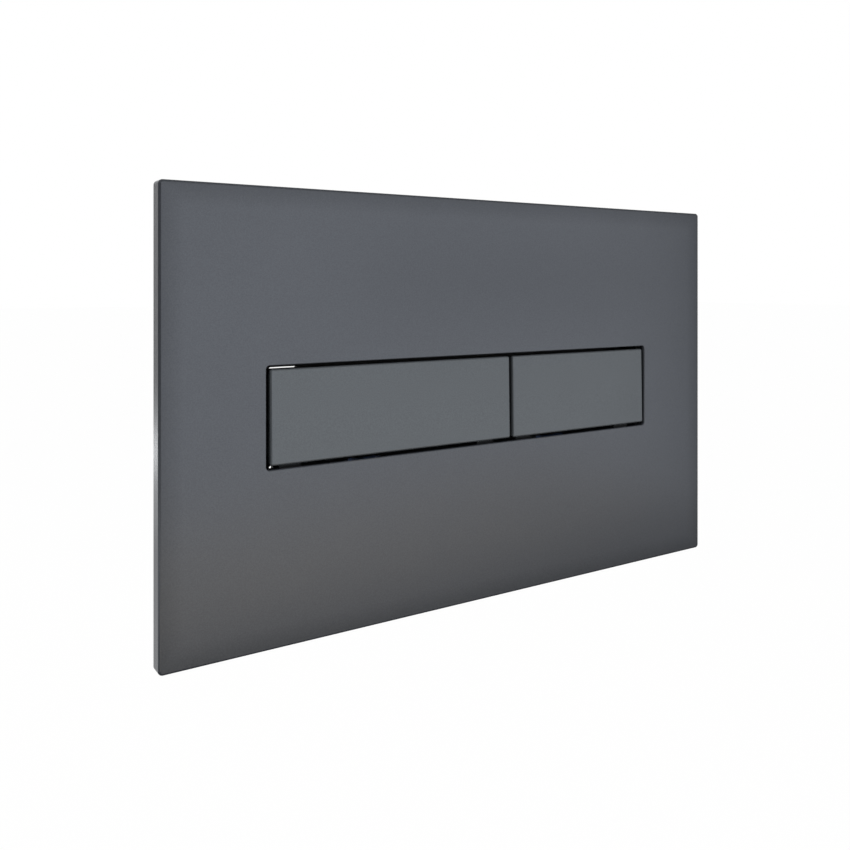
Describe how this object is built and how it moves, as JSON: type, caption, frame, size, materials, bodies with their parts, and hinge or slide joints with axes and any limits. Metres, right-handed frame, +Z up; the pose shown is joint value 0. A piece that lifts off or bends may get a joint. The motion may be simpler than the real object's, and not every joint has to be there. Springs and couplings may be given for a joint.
{
  "type": "flush button plate",
  "caption": "Slim wall plate in satin anthracite for a concealed cistern, with a wide and a narrow hinged flush button, a wall frame, fixing bolts and sliding push rods.",
  "frame": {"origin": "middle of the plate's outline, on the face of the wall", "axes": "+X to the right seen from the front, +Y into the wall, +Z up"},
  "size_m": [0.25, 0.081, 0.155],
  "materials": {
    "anthracite_lacquer": "satin",
    "black_plastic": "satin",
    "grey_plastic": "satin",
    "white_plastic": "satin",
    "blue_plastic": "satin",
    "zinc_steel": "satin",
    "spring_steel": "satin",
    "black_rubber": "matte"
  },
  "bodies": {
    "frame": {"face_plate": "anthracite_lacquer", "button_carrier": "black_plastic", "carrier_screws": "zinc_steel", "press_bumpers": "black_rubber", "mounting_frame": "grey_plastic", "left_fixing_bolt": "zinc_steel", "right_fixing_bolt": "zinc_steel", "bolt_retainers": "white_plastic", "large_hinge_pin": "spring_steel", "small_hinge_pin": "spring_steel", "large_left_spring": "spring_steel", "large_right_spring": "spring_steel", "small_left_spring": "spring_steel", "small_right_spring": "spring_steel"},
    "large_button": {"large_button": "anthracite_lacquer"},
    "small_button": {"small_button": "anthracite_lacquer"},
    "large_push_rod": {"large_push_rod": "white_plastic", "large_rod_head": "blue_plastic", "large_rod_clip": "spring_steel"},
    "small_push_rod": {"small_push_rod": "white_plastic", "small_rod_head": "blue_plastic", "small_rod_clip": "spring_steel"}
  },
  "joints": [
    {"name": "large_button_press", "type": "hinge", "parent": "frame", "child": "large_button", "pos_m": [-0.03713, 0, 0.0116], "axis": [1, 0, 0], "range_deg": [0, 12], "stiffness_Nm_per_rad": 0.15, "springref_deg": -11.46, "deforming": ["large_left_spring", "large_right_spring"]},
    {"name": "small_button_press", "type": "hinge", "parent": "frame", "child": "small_button", "pos_m": [0.05142, 0, 0.0116], "axis": [1, 0, 0], "range_deg": [0, 12], "stiffness_Nm_per_rad": 0.15, "springref_deg": -11.46, "deforming": ["small_left_spring", "small_right_spring"]},
    {"name": "large_rod_slide", "type": "slide", "parent": "frame", "child": "large_push_rod", "axis": [0, 1, 0], "range_m": [0, 0.005]},
    {"name": "small_rod_slide", "type": "slide", "parent": "frame", "child": "small_push_rod", "axis": [0, 1, 0], "range_m": [0, 0.005]}
  ],
  "couplings": [
    {"joint": "large_rod_slide", "follows": "large_button_press", "m_per_rad": 0.0232},
    {"joint": "small_rod_slide", "follows": "small_button_press", "m_per_rad": 0.0232}
  ]
}
